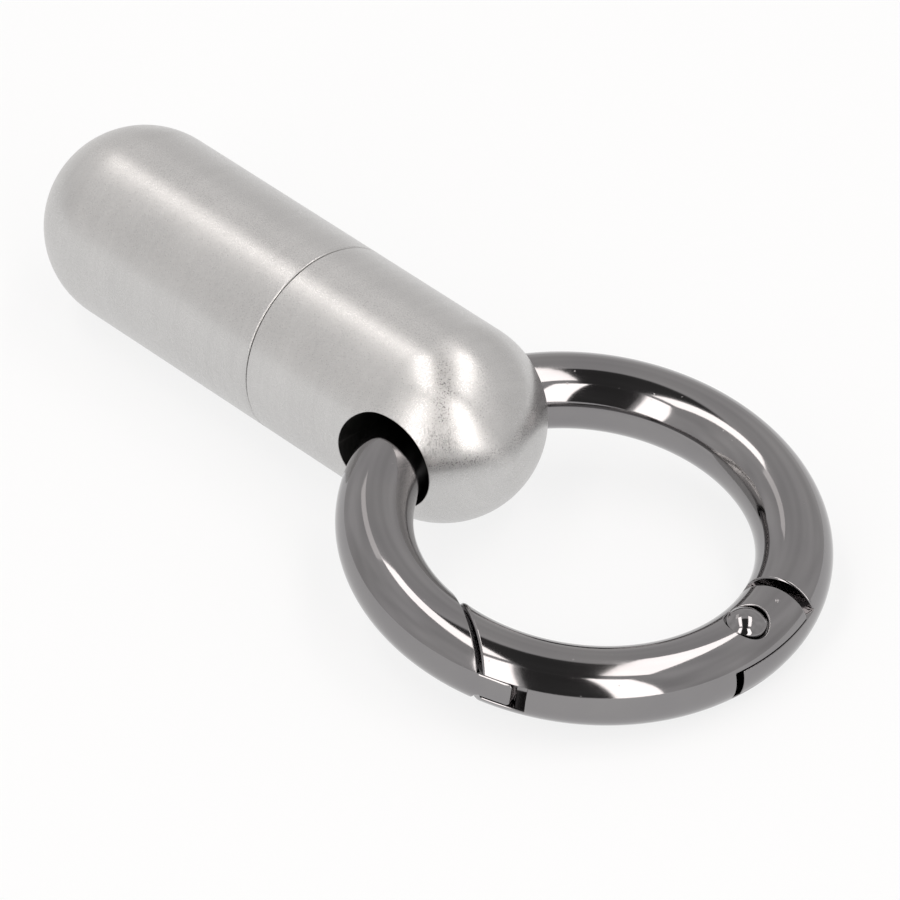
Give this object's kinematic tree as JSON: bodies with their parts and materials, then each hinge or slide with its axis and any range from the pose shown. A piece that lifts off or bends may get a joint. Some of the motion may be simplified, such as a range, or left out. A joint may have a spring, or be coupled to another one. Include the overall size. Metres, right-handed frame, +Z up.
{
  "type": "pill fob keychain",
  "caption": "Round-ended steel pill capsule that unscrews at a fine seam, with a cross hole in its cap that holds a drooping spring gate ring for keys.",
  "frame": {"origin": "middle of the part's length and width, on the plane it lies on", "axes": "+X along the capsule's axis, from the pill body to the ring; +Y across the ring, away from the gate's latch; +Z up, square to the plane it lies on"},
  "size_m": [0.0745, 0.0364, 0.0154],
  "materials": {
    "steel": "satin",
    "gunmetal_plate": "polished",
    "seal_rubber": "matte",
    "spring_wire": "satin"
  },
  "bodies": {
    "cap": {"cap": "steel"},
    "ring_frame": {"ring_frame": "gunmetal_plate"},
    "ring_gate": {"ring_gate": "gunmetal_plate", "hinge_rivet": "gunmetal_plate", "gate_spring": "spring_wire"},
    "plunger": {"spring_plunger": "spring_wire"},
    "neck_seal": {"neck_seal": "seal_rubber"},
    "pill_body": {"pill_body": "steel"}
  },
  "joints": [
    {"name": "ring_swing", "type": "hinge", "parent": "cap", "child": "ring_frame", "pos_m": [0.00495, 0, 0.0077], "axis": [0, -1, 0], "range_deg": [-80, 99]},
    {"name": "gate_open", "type": "hinge", "parent": "ring_frame", "child": "ring_gate", "pos_m": [0.03433, 0.00147, 0.00286], "axis": [-0.1625, 0, -0.9867], "range_deg": [0, 25], "stiffness_Nm_per_rad": 0.01, "springref_deg": -17.19},
    {"name": "plunger_travel", "type": "slide", "parent": "ring_gate", "child": "plunger", "axis": [0.0946, -0.9954, -0.0156], "range_m": [0, 0.0008], "deforming": ["gate_spring"]},
    {"name": "pull_off", "type": "slide", "parent": "cap", "child": "neck_seal", "axis": [-1, 0, 0], "range_m": [0, 0.008]},
    {"name": "unscrew", "type": "hinge", "parent": "neck_seal", "child": "pill_body", "pos_m": [-0.00925, 0, 0.0077], "axis": [-1, 0, 0], "range_deg": [0, 2880]}
  ],
  "couplings": [
    {"joint": "plunger_travel", "follows": "gate_open", "m_per_rad": 0.001684},
    {"joint": "pull_off", "follows": "unscrew", "m_per_rad": 0.00015915}
  ]
}
